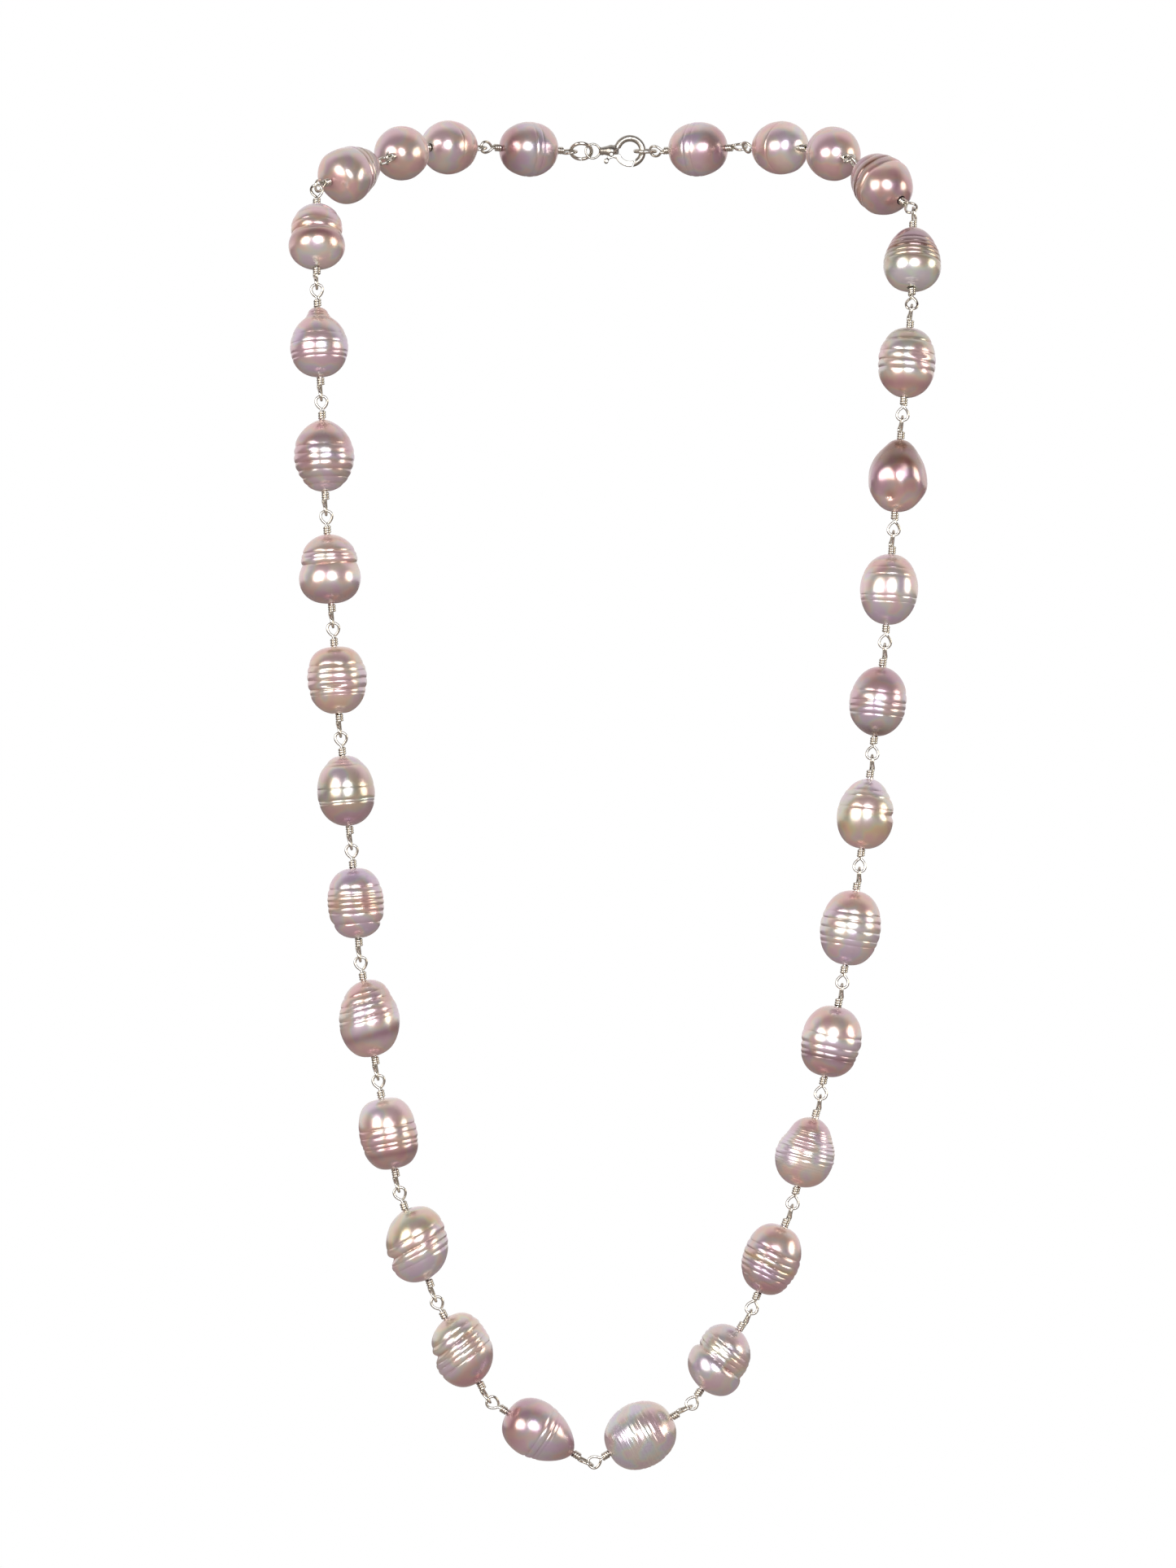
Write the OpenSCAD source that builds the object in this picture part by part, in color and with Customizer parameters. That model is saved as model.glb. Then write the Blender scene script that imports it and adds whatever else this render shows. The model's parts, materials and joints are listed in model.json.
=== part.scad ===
// Long necklace of ringed freshwater pearls. Each pearl is threaded on its own silver wire link,
// the links hook loop in loop, and a lobster clasp closes the chain behind the neck.
// Millimetres, +Z up, the wearer faces -Y, and the origin is the middle of the neck opening.

/* [Wire links] */
// Diameter of the silver wire
wire_d = 0.5; // [0.4:0.05:0.55]
// Radius of a wrapped loop, to the middle of its wire
loop_r = 1.2; // [1.1:0.05:1.4]
// Distance between the wires of two hooked loops, middle to middle
hook_gap = 0.75; // [0.65:0.01:0.8]
// Straight wire between a loop and its wraps
stem_len = 0.3; // [0.2:0.1:0.6]
// Turns of wire wrapped under each loop
wrap_turns = 3; // [2:1:4]

/* [Pearls] */
// Scale of every pearl's width and length
pearl_scale = 1; // [0.9:0.02:1.05]
// Diameter of the drilled hole
bore_d = 0.8; // [0.75:0.05:1]
// Gap between a pearl and the wraps at each end
end_gap = 0.15; // [0.1:0.05:0.3]
// Steps along a pearl's outline
outline_steps = 26; // [16:2:40]

/* [Drape] */
// Distance of the clasp behind the middle of the neck
nape_y = 26; // [20:1:32]
// Height of the clasp above the middle of the neck
nape_z = 1; // [-2:0.5:4]

/* [Clasp] */
// Ring radius of the jump rings, to the middle of the wire
jump_r = 2; // [1.9:0.05:2.2]
// Diameter of the jump ring wire
jump_d = 0.7; // [0.6:0.05:0.75]
// Middle of the tail eye to the middle of the claw
claw_x = 7.2; // [7:0.1:7.5]
// Ring radius of the claw, to the middle of its rounded section
claw_r = 2.5; // [2.4:0.05:2.6]
// Diameter of the claw's rounded section
claw_d = 1.4; // [1.3:0.05:1.5]
// Thickness of the lever
lever_t = 0.7; // [0.6:0.05:0.75]

/* [Hidden] */
$fn = 48;
silver = "silver";

// Each pearl: width, length, taper (positive is fatter below), waist depth, and waist place
// from 0 at the top to 1 at the bottom. The first three of a side are its nape pearls.
nape_pearls_list = [[10.2, 11.4, 0.04, 0.03, 0.5], [10.4, 11.6, 0.08, 0.00, 0.5],
    [10.6, 11.5, 0.02, 0.05, 0.4]];
left_pearls = concat(nape_pearls_list, [
    [10.8, 13.0, 0.16, 0.00, 0.5], [10.5, 12.4, 0.14, 0.12, 0.4], [10.7, 12.9, 0.22, 0.06, 0.2],
    [11.4, 13.3, 0.04, 0.00, 0.5], [11.4, 12.8, 0.05, 0.07, 0.4], [11.1, 12.3, 0.02, 0.02, 0.5],
    [10.7, 12.9, 0.05, 0.02, 0.2], [10.4, 12.8, -0.02, 0.02, 0.8], [11.3, 14.1, 0.07, 0.02, 0.3],
    [10.7, 13.1, 0.00, 0.00, 0.5], [11.8, 13.4, 0.02, 0.07, 0.5], [11.4, 13.2, 0.03, 0.08, 0.4],
    [11.2, 14.3, -0.20, 0.00, 0.5]]);
right_pearls = concat(nape_pearls_list, [
    [11.0, 12.6, 0.02, 0.04, 0.5], [11.1, 11.9, 0.16, 0.03, 0.4], [10.7, 12.9, 0.02, 0.02, 0.4],
    [11.2, 13.4, 0.20, 0.03, 0.3], [10.7, 13.0, 0.02, 0.00, 0.5], [10.7, 12.8, 0.04, 0.00, 0.5],
    [10.8, 13.0, 0.08, 0.03, 0.3], [11.2, 13.8, 0.00, 0.00, 0.5], [11.2, 13.0, 0.02, 0.04, 0.6],
    [10.9, 13.0, 0.12, 0.04, 0.4], [10.7, 12.9, 0.02, 0.02, 0.6], [10.9, 12.9, 0.04, 0.08, 0.5],
    [12.0, 13.2, 0.00, 0.00, 0.5]]);

// Route round the neck, from the clasp to the shoulder: heading away from straight ahead, and drop.
left_nape = [[67, 0], [40, 5], [15, 12], [39.5, 19]];
right_nape = [[68, 0], [43, 5], [18, 12], [39.5, 32]];
// Route down the chest: how far each link turns in towards the middle, and leans forward.
left_hang = [1, 2.5, 2.5, 3.5, 4, 5.5, 4.5, 8.5, 10.5, 18.5, 28];
right_hang = [2, 5, 4.5, 4.5, 6.5, 6.5, 8.5, 11, 14.5, 21.5, 32.5];
lean = [20, 4, 2, 1, 0, 0, 0, 0, 0, 0, 0];

LEFT = -1;
RIGHT = 1;
nape_count = 3;
front_count = len(left_pearls) - nape_count;
shoulder = len(left_nape);
last = len(left_pearls) - 1;

// Wraps overlap a little, so that a link is one solid.
wrap_step = 0.94 * wire_d;
wrap_r = 0.96 * wire_d;
// The straight core is a touch thinner than the loops, so that it meets them on a clean edge.
core_d = 0.96 * wire_d;
wrap_h = (wrap_turns - 1) * wrap_step + wire_d;
end_len = 2 * loop_r + stem_len + wrap_h + end_gap;

// The clasp, measured from the middle of its tail eye.
eye_r = 1.15;
eye_wall = 0.5;
eye_t = 0.8;
eye_slack = 0.25;
claw_slack = 0.45;
knuckle_x = 3.6;
knuckle_r = 1.3;
tail_r = 0.75;
pivot = [knuckle_x, 0, -0.7];
pin_r = 0.3;
pin_len = 2.1;
pin_fit = 0.05;
hub_r = 0.75;
slot_t = lever_t + 0.25;
slot_roof = 0.45;
mouth_r = 4.75;
mouth_gap = 0.12;
lever_half_w = 0.48;
tab_x = 1.0;
tab_z = 1.25;
tab_r = 0.5;
tab_t = 1.7;
spring_x = 4.5;
spring_r = 0.25;
spring_wire_r = 0.07;
spring_coils = 4;
spring_step = 0.16;
jump_bite = 0.7;
jump_cut = 0.1;
// Left jump ring, clasp and right jump ring end to end, between the two end loops.
claw_far = claw_x + claw_r - claw_d / 2;
eye_from_end = 2 * jump_r - jump_bite + eye_slack;
closure = eye_from_end + claw_far - jump_d / 2 - claw_slack + 2 * jump_r - jump_bite;
clasp_at = [-closure / 2 + eye_from_end, nape_y, nape_z];

function unit(v) = v / norm(v);
function pearls(side) = side == LEFT ? left_pearls : right_pearls;
function pearl_w(side, n) = pearl_scale * pearls(side)[n][0];
function pearl_len(side, n) = pearl_scale * pearls(side)[n][1];
function link_len(side, n) = pearl_len(side, n) + 2 * end_len;
function pitch(side, n) = link_len(side, n) - hook_gap;

// Way that link n of a side runs, from the clasp round the neck and down the chest.
function nape_way(side, turn) = [side * sin(turn[0]) * cos(turn[1]), -cos(turn[0]) * cos(turn[1]),
    -sin(turn[1])];
function hang_way(side, hang, lean) = [-side * sin(hang) * cos(lean), -sin(lean),
    -cos(hang) * cos(lean)];
function way(side, n) = n == last ? unit(hook_at(side, last + 1) - hook_at(side, last))
    : n < shoulder ? nape_way(side, (side == LEFT ? left_nape : right_nape)[n])
    : hang_way(side, (side == LEFT ? left_hang : right_hang)[n - shoulder], lean[n - shoulder]);

// Hook number n of a side: 0 is at the clasp, and last + 1 is the bottom hook, where both sides meet.
function hook_at(side, n) = n == 0 ? [side * closure / 2, nape_y, nape_z]
    : n == last + 1 ? bottom_hook(hook_at(LEFT, last), hook_at(RIGHT, last))
    : hook_at(side, n - 1) + pitch(side, n - 1) * way(side, n - 1);

// The two bottom links meet as two bars do, hanging below the line between their upper hooks.
function bottom_hook(a, b) = let (
        span = norm(b - a), across = (b - a) / span, pa = pitch(LEFT, last), pb = pitch(RIGHT, last),
        along = (span * span + pa * pa - pb * pb) / (2 * span),
        down = unit([0, 0, -1] + across[2] * across))
    a + along * across + sqrt(pa * pa - along * along) * down;

// Normal to the drape of a hanging link, which points back to the wearer.
function drape_normal(w) = unit([0, 1, 0] - w[1] * w);
// Direction of the wire at the crown of a link's upper loop. Links lie in the drape on the left
// and at a right angle to it on the right, and round the neck each one follows the link below it.
function crown_way(side, n) = let (w = way(side, n))
    n >= shoulder ? (side == LEFT ? cross(drape_normal(w), w) : drape_normal(w))
    : cross(unit(cross(w, crown_way(side, n + 1))), w);

// Frame of a link: its upper crown, the crown's direction, the lower crown's direction, and its way.
function upper_crown(side, n) = hook_at(side, n) - hook_gap / 2 * way(side, n);
function lower_crown(side, n) = upper_crown(side, n) + link_len(side, n) * way(side, n);
function lower_crown_way(side, n) = cross(way(side, n), crown_way(side, n));
// A link swings in and out of the drape, on the one crown of its hook that lies across the strand.
function swing_at(side, n) = side == LEFT ? upper_crown(side, n) : lower_crown(side, n - 1);
function swing_axis(side, n) = side == LEFT ? crown_way(side, n) : lower_crown_way(side, n - 1);

module in_link_frame(side, n) {
    x = crown_way(side, n);
    z = way(side, n);
    y = cross(z, x);
    p = upper_crown(side, n);
    multmatrix([[x[0], y[0], z[0], p[0]], [x[1], y[1], z[1], p[1]], [x[2], y[2], z[2], p[2]]])
        children();
}

module wire_ring(r, d) {
    rotate_extrude() translate([r, 0]) circle(d = d);
}

// One wire link along +Z from its upper crown: a core, and at each end a wrapped loop.
module wire_link(length) {
    core_from = 2 * loop_r;
    translate([0, 0, core_from]) cylinder(d = core_d, h = length - 2 * core_from);
    translate([0, 0, loop_r]) rotate([90, 0, 0]) wire_ring(loop_r, wire_d);
    translate([0, 0, length - loop_r]) rotate([0, 90, 0]) wire_ring(loop_r, wire_d);
    for (turn = [0 : wrap_turns - 1]) {
        from_end = core_from + stem_len + wire_d / 2 + turn * wrap_step;
        for (z = [from_end, length - from_end]) translate([0, 0, z]) wire_ring(wrap_r, wire_d);
    }
}

// Radius of a pearl at t, from -1 at the top to 1 at the bottom.
function pearl_radius(p, t) = pearl_scale * p[0] / 2 * pow(1 - t * t, 0.45) * (1 + p[2] * t)
    * (1 - p[3] * exp(-pow((t + 1 - 2 * p[4]) / 0.3, 2)));

// One drilled pearl, centred on its bore, which runs along Z.
module drilled_pearl(p) {
    rim = 9;
    half = pearl_scale * p[1] / 2;
    turns = [for (k = [0 : outline_steps]) rim + k * (180 - 2 * rim) / outline_steps];
    side = [for (a = turns) [pearl_radius(p, -cos(a)), -half * cos(a) / cos(rim)]];
    rotate_extrude() polygon(concat([[bore_d / 2, -half]], side, [[bore_d / 2, half]]));
}

module link(side, n) {
    color(silver) in_link_frame(side, n) wire_link(link_len(side, n));
}

module pearl(side, n) {
    color(side == LEFT ? "thistle" : "mistyrose") in_link_frame(side, n)
        translate([0, 0, link_len(side, n) / 2]) drilled_pearl(pearls(side)[n]);
}

module nape_pearls() {
    for (side = [LEFT, RIGHT], n = [0 : nape_count - 1]) pearl(side, n);
}

module nape_links() {
    for (side = [LEFT, RIGHT], n = [0 : nape_count - 1]) link(side, n);
}

// A flat bar of the lever between two points in the clasp's XZ plane, with round ends.
module lever_bar(from, to, half_w) {
    v = to - from;
    translate([from[0], 0, from[1]]) rotate([0, -atan2(v[1], v[0]), 0])
        translate([0, -lever_t / 2, -half_w]) cube([norm(v), lever_t, 2 * half_w]);
}

module across(x, z, r, t) {
    translate([x, 0, z]) rotate([90, 0, 0]) cylinder(r = r, h = t, center = true);
}

// The lower left part of the claw's round, which the lever closes. It is open towards the pivot.
module gate(mouth, t) {
    intersection() {
        across(pivot[0], pivot[2], mouth, t);
        translate([claw_x, 0, 0]) rotate([90, 0, 0]) linear_extrude(t, center = true)
            polygon([[0, 0], [-4.4, -1.2], [-4.4, -4.5], [2.6, -4.5]]);
    }
}

// Cast body: tail eye, tapered tail, knuckle for the pivot, and the round claw.
module clasp_body() {
    color(silver) translate(clasp_at) difference() {
        union() {
            across(0, 0, eye_r + eye_wall, eye_t);
            translate([eye_r + eye_wall / 2, 0, 0]) rotate([0, 90, 0])
                cylinder(r1 = tail_r, r2 = knuckle_r * 0.96, h = knuckle_x - eye_r - eye_wall / 2);
            translate([knuckle_x, 0, 0]) sphere(knuckle_r);
            translate([claw_x, 0, 0]) rotate([90, 0, 0]) wire_ring(claw_r, claw_d);
        }
        across(0, 0, eye_r, 2 * knuckle_r);
        translate([knuckle_x - knuckle_r - 0.2, -slot_t / 2, -4])
            cube([claw_x - claw_r + claw_d / 2 + 0.1 - knuckle_x + knuckle_r + 0.2, slot_t,
                4 + slot_roof]);
        gate(mouth_r, 3 * knuckle_r);
        across(pivot[0], pivot[2], pin_r, 4 * knuckle_r);
    }
}

// Lever: a curved gate, a bar to the pivot, a hub on the pin, and a thumb tab.
module clasp_lever() {
    color(silver) translate(clasp_at) difference() {
        union() {
            intersection() {
                difference() {
                    across(claw_x, 0, claw_r + claw_d / 2 - 0.1, lever_t);
                    across(claw_x, 0, claw_r - claw_d / 2 + 0.1, 2 * lever_t);
                }
                gate(mouth_r - mouth_gap, lever_t);
            }
            lever_bar([pivot[0], pivot[2]], [claw_x - claw_r + 0.25, -1.15], lever_half_w);
            lever_bar([pivot[0], pivot[2]], [pivot[0] - tab_x, pivot[2] - tab_z], tab_r * 0.7);
            across(pivot[0], pivot[2], hub_r, lever_t);
            across(pivot[0] - tab_x, pivot[2] - tab_z, tab_r, tab_t);
        }
        across(pivot[0], pivot[2], pin_r + pin_fit, 2 * lever_t);
    }
}

module clasp_pin() {
    color(silver) translate(clasp_at) across(pivot[0], pivot[2], pin_r, pin_len);
}

// Tiny coil between the slot's roof and the lever.
module clasp_spring() {
    color("darkgray") translate(clasp_at + [spring_x, 0, slot_roof - spring_wire_r - 0.05])
        for (coil = [0 : spring_coils - 1])
            translate([0, 0, -coil * spring_step]) wire_ring(spring_r, 2 * spring_wire_r);
}

// A jump ring is bent from wire and closed to a hairline cut.
module jump_ring(tilt) {
    rotate([tilt, 0, 0]) difference() {
        wire_ring(jump_r, jump_d);
        translate([-jump_cut / 2, 0, -jump_d]) cube([jump_cut, 2 * jump_r, 2 * jump_d]);
    }
}

module jump_rings() {
    from_end = closure / 2 + jump_bite - jump_r;
    color(silver) {
        translate([-from_end, nape_y, nape_z]) jump_ring(-43);
        translate([from_end, nape_y, nape_z]) jump_ring(10);
    }
}

function two_digits(k) = str(k < 10 ? "0" : "", k);
function node_name(piece, side, k) = str(piece, side == LEFT ? "_left_" : "_right_", two_digits(k));

for (side = [LEFT, RIGHT], k = [1 : front_count]) {
    pearl(side, nape_count + k - 1);
    link(side, nape_count + k - 1);
}
nape_pearls();
nape_links();
clasp_body();
clasp_lever();
clasp_pin();
clasp_spring();
jump_rings();
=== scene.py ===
import json
import math

import bmesh
import bpy
import numpy as np
from mathutils import Matrix, Vector


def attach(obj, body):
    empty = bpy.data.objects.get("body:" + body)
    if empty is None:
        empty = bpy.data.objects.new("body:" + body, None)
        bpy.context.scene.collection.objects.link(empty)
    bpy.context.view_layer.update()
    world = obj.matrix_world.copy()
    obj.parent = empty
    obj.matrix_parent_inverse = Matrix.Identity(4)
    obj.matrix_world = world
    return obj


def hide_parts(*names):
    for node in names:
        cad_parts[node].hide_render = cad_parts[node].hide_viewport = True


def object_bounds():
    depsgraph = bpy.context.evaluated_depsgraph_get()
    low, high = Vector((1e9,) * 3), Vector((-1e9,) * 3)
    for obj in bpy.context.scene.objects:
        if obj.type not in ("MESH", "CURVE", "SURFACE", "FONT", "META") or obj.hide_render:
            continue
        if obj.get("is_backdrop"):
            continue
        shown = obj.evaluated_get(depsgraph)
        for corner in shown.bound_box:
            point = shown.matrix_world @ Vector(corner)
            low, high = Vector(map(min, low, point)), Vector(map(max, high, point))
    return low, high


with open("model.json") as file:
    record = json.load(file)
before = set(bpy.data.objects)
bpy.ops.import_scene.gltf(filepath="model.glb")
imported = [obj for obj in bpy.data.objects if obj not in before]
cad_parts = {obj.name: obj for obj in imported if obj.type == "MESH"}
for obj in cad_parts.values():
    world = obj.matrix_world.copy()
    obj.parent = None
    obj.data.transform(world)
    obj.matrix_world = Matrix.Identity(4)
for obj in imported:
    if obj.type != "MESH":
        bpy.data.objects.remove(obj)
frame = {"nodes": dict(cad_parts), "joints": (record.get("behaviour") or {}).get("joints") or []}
cad_low, cad_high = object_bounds()

# Camera. The necklace hangs facing it, about a metre away, with the lens level with the middle
# of the drape, so that both strands are seen square on.
MM = 0.001
VIEW_HEIGHT = 289 * MM
STAND_OFF = 1100 * MM
DRAPE_MIDDLE = Vector((-4.9 * MM, -34 * MM, -122 * MM))
SENSOR = 36

camera = bpy.data.objects.new("camera", bpy.data.cameras.new("camera"))
bpy.context.scene.collection.objects.link(camera)
camera.data.sensor_width = SENSOR
camera.data.lens = SENSOR * STAND_OFF / VIEW_HEIGHT
camera.location = DRAPE_MIDDLE - Vector((0, STAND_OFF, 0))
camera.rotation_euler = (math.radians(90), 0, 0)
bpy.context.scene.camera = camera


# Route of the chain. Every wire link runs from hook to hook through the middle of its pearl, so
# the middle, direction and loops of a link place both the wire and the pearl threaded on it.
LOOP_ZONE = 2.2 * MM
SHORTEST_LINK = 8 * MM
FRONT_COUNT = 13
SIDES = ("left", "right")


def loose_parts(node):
    """The vertices of each separate link in a CAD node, from the lowest X to the highest."""
    mesh = bmesh.new()
    mesh.from_mesh(frame["nodes"][node].data)
    bmesh.ops.remove_doubles(mesh, verts=mesh.verts, dist=1e-6)
    left, parts = set(mesh.verts), []
    while left:
        part, edge = [], [left.pop()]
        while edge:
            v = edge.pop()
            part.append(v.co[:])
            near = {e.other_vert(v) for e in v.link_edges} & left
            left -= near
            edge.extend(near)
        parts.append(np.array(part))
    mesh.free()
    solids = [p for p in parts if np.ptp(p, axis=0).max() > SHORTEST_LINK]
    return sorted(solids, key=lambda p: p[:, 0].mean())


def spread(points, axis):
    """Middle of the points across an axis, and the direction across it where they spread most."""
    flat = points - np.outer(points @ axis, axis)
    wide = np.linalg.eigh(np.cov((flat - flat.mean(0)).T))[1][:, 2]
    narrow = np.cross(axis, wide)
    middle = sum(((flat @ d).max() + (flat @ d).min()) / 2 * d for d in (wide, narrow))
    return middle, wide


def link_place(points, rough_axis):
    """Middle, axis, length and upper loop direction of a link, from its CAD solid's vertices."""
    axis = np.array(rough_axis, float)
    for _ in range(3):
        along = points @ axis
        ends = [points[along < along.min() + LOOP_ZONE], points[along > along.max() - LOOP_ZONE]]
        low, high = (spread(end, axis)[0] + level * axis for end, level in
                     zip(ends, (along.min(), along.max())))
        axis = (high - low) / np.linalg.norm(high - low)
    upper = spread(ends[0], axis)[1]
    return {"middle": (low + high) / 2, "axis": axis, "length": np.linalg.norm(high - low),
            "loop": upper}


spins = {j["child"]: j for j in frame["joints"] if j["child"].startswith("pearl_")}
places = {}
for side in SIDES:
    for k in range(1, FRONT_COUNT + 1):
        name = f"{side}_{k:02d}"
        places[name] = link_place(loose_parts(f"link_{name}")[0], spins[f"pearl_{name}"]["axis"])
nape_parts = loose_parts("nape_links")
for order, (side, k) in enumerate([("left", 3), ("left", 2), ("left", 1),
                                   ("right", 1), ("right", 2), ("right", 3)]):
    points = nape_parts[order]
    away = np.linalg.eigh(np.cov((points - points.mean(0)).T))[1][:, 2]
    if away[1] > 0:
        away = -away
    places[f"nape_{side}_{k}"] = link_place(points, away)


def frame_at(middle, x, z):
    """Matrix to the frame that has this middle and these X and Z directions."""
    rows = np.array([x, np.cross(z, x), z]).T
    m = Matrix([[*row, 0] for row in rows] + [[0, 0, 0, 1]])
    m.translation = Vector(middle)
    return m


# Pearls. Ringed freshwater pearls grow as bags of nacre round a slip of tissue, turning as they
# grow, so each is an egg, drop or barrel with rings round it. Each is drilled from end to end.
OUTLINE_ROWS = 150
ROUND_COLUMNS = 112
BORE_RADIUS = 0.4
RING_SLOTS = 6


def add_node(tree, kind, inputs=(), **settings):
    """Adds a node with its settings, and sets or links its inputs, given by name or number."""
    made = tree.nodes.new(kind)
    for key, value in settings.items():
        setattr(made, key, value)
    for key, value in (inputs.items() if isinstance(inputs, dict) else enumerate(inputs)):
        if isinstance(value, bpy.types.NodeSocket):
            tree.links.new(value, made.inputs[key])
        else:
            made.inputs[key].default_value = value
    return made


def linear(hex_colour):
    """A colour given as sRGB hex, in the linear light that the shaders work in."""
    parts = [int(hex_colour[k:k + 2], 16) / 255 for k in (1, 3, 5)]
    return [*(p / 12.92 if p <= 0.04045 else ((p + 0.055) / 1.055) ** 2.4 for p in parts), 1]


def new_tree(name, inputs):
    """A geometry tree with named inputs, and its group input's sockets by name."""
    tree = bpy.data.node_groups.new(name, "GeometryNodeTree")
    for label, kind, value in inputs:
        socket = tree.interface.new_socket(label, in_out="INPUT", socket_type=f"NodeSocket{kind}")
        if value is not None:
            socket.default_value = value
    tree.interface.new_socket("Geometry", in_out="OUTPUT", socket_type="NodeSocketGeometry")
    return tree, {s.name: s for s in add_node(tree, "NodeGroupInput").outputs if s.name}


def work_out(tree, values, lines):
    """Adds one maths node for each line: a name, an operation, and what it works on."""
    for name, operation, *terms in lines:
        terms = [values[t] if isinstance(t, str) else t for t in terms]
        values[name] = add_node(tree, "ShaderNodeMath", terms, operation=operation).outputs[0]


PEARL_INPUTS = {
    "Width": 11.0, "Length": 13.0, "Taper": 0.0, "Top point": 0.9, "Bottom point": 0.9,
    "Body top": 0.0, "Body bottom": 1.0, "Lobe width": 0.0, "Lobe top": 0.0, "Lobe bottom": 1.0,
    "Lobe blend": 0.4,
    "Ring tilt": 0.0, "Tilt turn": 0.0, "Ring wander": 0.03, "Fine depth": 0.0, "Fine place": 0.5,
    "Fine spread": 0.2, "Fine pitch": 0.5, "Lumps": 0.12, "Dent depth": 0.0, "Dent place": 0.5,
    "Dent turn": 0.0, "Dent width": 2.0, "Dent height": 1.0, "Band place": 0.5, "Band width": 0.12,
    "Seed": 0.0}
PEARL_COLOURS = ("Top colour", "Middle colour", "Bottom colour", "Band colour")
ring_inputs = [(f"Ring {k} {what}", "Float", value) for k in range(1, RING_SLOTS + 1)
               for what, value in (("place", 0.5), ("depth", 0.0), ("width", 0.03))]

pearl_tree, sockets = new_tree("drilled ringed pearl", [
    *((label, "Float", value) for label, value in PEARL_INPUTS.items()), *ring_inputs,
    *((label, "Color", None) for label in PEARL_COLOURS), ("Material", "Material", None)])
grid = add_node(pearl_tree, "GeometryNodeMeshGrid",
                {"Vertices X": OUTLINE_ROWS + 1, "Vertices Y": ROUND_COLUMNS + 1})
at = add_node(pearl_tree, "ShaderNodeSeparateXYZ",
              [add_node(pearl_tree, "GeometryNodeInputPosition").outputs[0]])
v = dict(sockets, grid_x=at.outputs[0], grid_y=at.outputs[1])
work_out(pearl_tree, v, [
    # Rows run down the outside, and the last row comes back to the first through the bore.
    ("row", "ADD", "grid_x", 0.5),
    ("row", "MULTIPLY", "row", OUTLINE_ROWS / (OUTLINE_ROWS - 1)),
    ("on_outside", "LESS_THAN", "row", 1.0001),
    ("row", "MULTIPLY", "row", "on_outside"),
    ("turn", "MULTIPLY", "grid_y", math.tau),
    ("row_angle", "MULTIPLY_ADD", "row", math.pi - 0.1, 0.05),
    ("up", "COSINE", "row_angle"),
    ("down", "MULTIPLY", "up", -1),
    ("fullness", "SINE", "row_angle"),
    ("cos_turn", "COSINE", "turn"),
    ("sin_turn", "SINE", "turn"),
    ("unit_x", "MULTIPLY", "cos_turn", "fullness"),
    ("unit_y", "MULTIPLY", "sin_turn", "fullness")])
ball = add_node(pearl_tree, "ShaderNodeCombineXYZ", [v["unit_x"], v["unit_y"], v["down"]])
for name, scale, shift in (("lumps_noise", 0.9, 0.0), ("wander_noise", 0.8, 7.0),
                           ("fade_noise", 1.3, 13.0)):
    work_out(pearl_tree, v, [("w", "ADD", "Seed", shift)])
    noise = add_node(pearl_tree, "ShaderNodeTexNoise", {"Vector": ball.outputs[0], "W": v["w"],
                     "Scale": scale, "Detail": 1.0}, noise_dimensions="4D")
    v[name] = noise.outputs["Fac"]
work_out(pearl_tree, v, [
    # Height from 0 at the top to 1 at the bottom, then tilted and made to wander for the rings.
    ("height", "MULTIPLY_ADD", "down", 0.5, 0.5),
    ("tilt_turn", "SUBTRACT", "turn", "Tilt turn"),
    ("tilt_cos", "COSINE", "tilt_turn"),
    ("tilt_cos", "MULTIPLY", "tilt_cos", "fullness"),
    ("tilt", "MULTIPLY", "tilt_cos", "Ring tilt"),
    ("wander", "SUBTRACT", "wander_noise", 0.5),
    ("wander", "MULTIPLY", "wander", "Ring wander"),
    ("ring_height", "ADD", "height", "tilt"),
    ("ring_height", "ADD", "ring_height", "wander"),
    ("fade", "MULTIPLY_ADD", "fade_noise", 2.4, -0.35),
    ("fade", "MINIMUM", "fade", 1.15),
    ("fade", "MAXIMUM", "fade", 0.3),
    ("grooves", "MULTIPLY", "fade", 0.0)])
for k in range(1, RING_SLOTS + 1):
    # A groove is sharp, and the nacre between two grooves bulges.
    work_out(pearl_tree, v, [
        ("off", "SUBTRACT", "ring_height", f"Ring {k} place"),
        ("off", "DIVIDE", "off", f"Ring {k} width"),
        ("off", "MULTIPLY_ADD", "off", "off", 0.03),
        ("off", "SQRT", "off"),
        ("off", "MULTIPLY", "off", -1),
        ("groove", "EXPONENT", "off"),
        ("grooves", "MULTIPLY_ADD", "groove", f"Ring {k} depth", "grooves")])
work_out(pearl_tree, v, [
    ("fine_at", "MULTIPLY", "ring_height", "Length"),
    ("fine_at", "DIVIDE", "fine_at", "Fine pitch"),
    ("fine_at", "ADD", "fine_at", "Seed")])
fine = add_node(pearl_tree, "ShaderNodeTexNoise",
                {"W": v["fine_at"], "Scale": 1.0, "Detail": 1.5}, noise_dimensions="1D")
v["fine_noise"] = fine.outputs["Fac"]
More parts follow.
